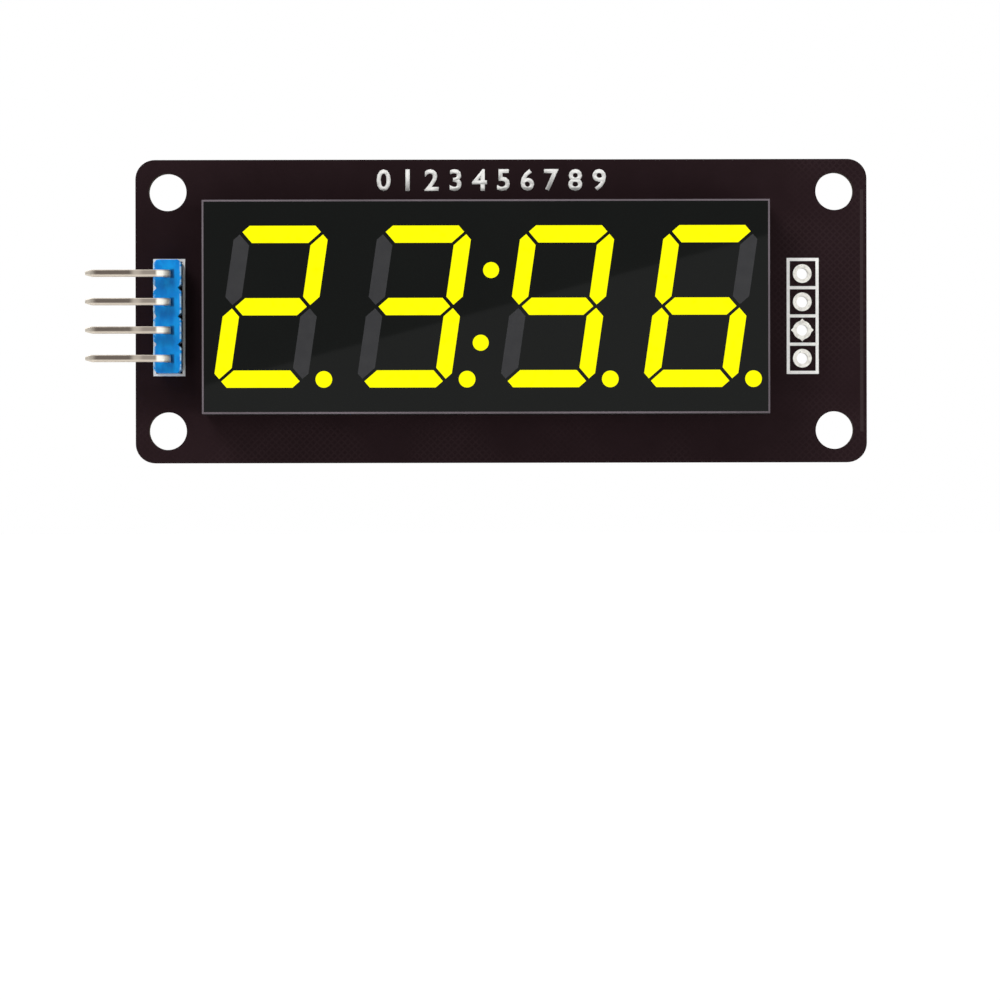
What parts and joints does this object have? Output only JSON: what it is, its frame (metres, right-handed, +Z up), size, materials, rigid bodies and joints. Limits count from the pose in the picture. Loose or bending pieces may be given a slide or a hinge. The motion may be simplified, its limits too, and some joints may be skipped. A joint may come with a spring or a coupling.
{
  "type": "seven segment display module",
  "caption": "Clock-style numeral display on a black circuit board, with corner mounting holes, a bent pin header and a driver chip behind.",
  "frame": {"origin": "middle of the four mounting holes, on the board's back face", "axes": "+X right and +Z up as the digits are read, -Y out of the display's face"},
  "size_m": [0.0701, 0.0122, 0.0274],
  "materials": {
    "solder_mask_black": "satin black solder mask over glass laminate",
    "tinned_copper": "tin over copper, bright",
    "solder": "bright solder",
    "tinned_pin": "tinned",
    "header_pin_plating": "plated, slightly warm grey",
    "housing_black": "smooth black moulded plastic",
    "resin_lit_yellow": "cast resin, lit yellow",
    "resin_unlit_grey": "cast resin, unlit",
    "die_plate_white": "white coated laminate",
    "die_gold": "bare die",
    "potting_cream": "cast resin",
    "header_blue": "moulded blue plastic",
    "chip_epoxy": "moulded epoxy, fine matt",
    "resistor_coat_red_brown": "coated ceramic",
    "resistor_coat_dark": "coated ceramic",
    "resistor_coat_grey": "coated ceramic",
    "capacitor_olive": "bare ceramic",
    "capacitor_tan": "bare ceramic",
    "lamp_pale_green": "clear moulded lens over a white base",
    "end_cap_tin": "tinned ends"
  },
  "bodies": {
    "root": {"circuit_board": "solder_mask_black", "board_hole_plating": "tinned_copper", "pin_solder": "solder", "surface_solder": "solder", "display_housing": "housing_black", "die_plate": "die_plate_white", "light_dies": "die_gold", "potting_resin": "potting_cream", "display_pins": "tinned_pin", "header_body": "header_blue", "driver_chip_body": "chip_epoxy", "driver_chip_leads": "tinned_pin", "resistor_1": "resistor_coat_red_brown", "resistor_2": "resistor_coat_dark", "resistor_3": "resistor_coat_grey", "resistor_4": "resistor_coat_grey", "capacitor_1": "capacitor_olive", "capacitor_2": "capacitor_tan", "capacitor_3": "capacitor_tan", "power_lamp": "lamp_pale_green", "chip_end_caps": "end_cap_tin", "digit_1_segment_a": "resin_lit_yellow", "digit_1_segment_b": "resin_lit_yellow", "digit_1_segment_c": "resin_unlit_grey", "digit_1_segment_d": "resin_lit_yellow", "digit_1_segment_e": "resin_lit_yellow", "digit_1_segment_f": "resin_unlit_grey", "digit_1_segment_g": "resin_lit_yellow", "digit_2_segment_a": "resin_lit_yellow", "digit_2_segment_b": "resin_lit_yellow", "digit_2_segment_c": "resin_lit_yellow", "digit_2_segment_d": "resin_lit_yellow", "digit_2_segment_e": "resin_unlit_grey", "digit_2_segment_f": "resin_unlit_grey", "digit_2_segment_g": "resin_lit_yellow", "digit_3_segment_a": "resin_lit_yellow", "digit_3_segment_b": "resin_lit_yellow", "digit_3_segment_c": "resin_lit_yellow", "digit_3_segment_d": "resin_lit_yellow", "digit_3_segment_e": "resin_unlit_grey", "digit_3_segment_f": "resin_lit_yellow", "digit_3_segment_g": "resin_lit_yellow", "digit_4_segment_a": "resin_lit_yellow", "digit_4_segment_b": "resin_unlit_grey", "digit_4_segment_c": "resin_lit_yellow", "digit_4_segment_d": "resin_lit_yellow", "digit_4_segment_e": "resin_lit_yellow", "digit_4_segment_f": "resin_lit_yellow", "digit_4_segment_g": "resin_lit_yellow", "decimal_point_1": "resin_lit_yellow", "decimal_point_2": "resin_lit_yellow", "decimal_point_3": "resin_lit_yellow", "decimal_point_4": "resin_lit_yellow", "colon_upper_dot": "resin_lit_yellow", "colon_lower_dot": "resin_lit_yellow", "header_pin_1": "header_pin_plating", "header_pin_2": "header_pin_plating", "header_pin_3": "header_pin_plating", "header_pin_4": "header_pin_plating"}
  },
  "joints": []
}
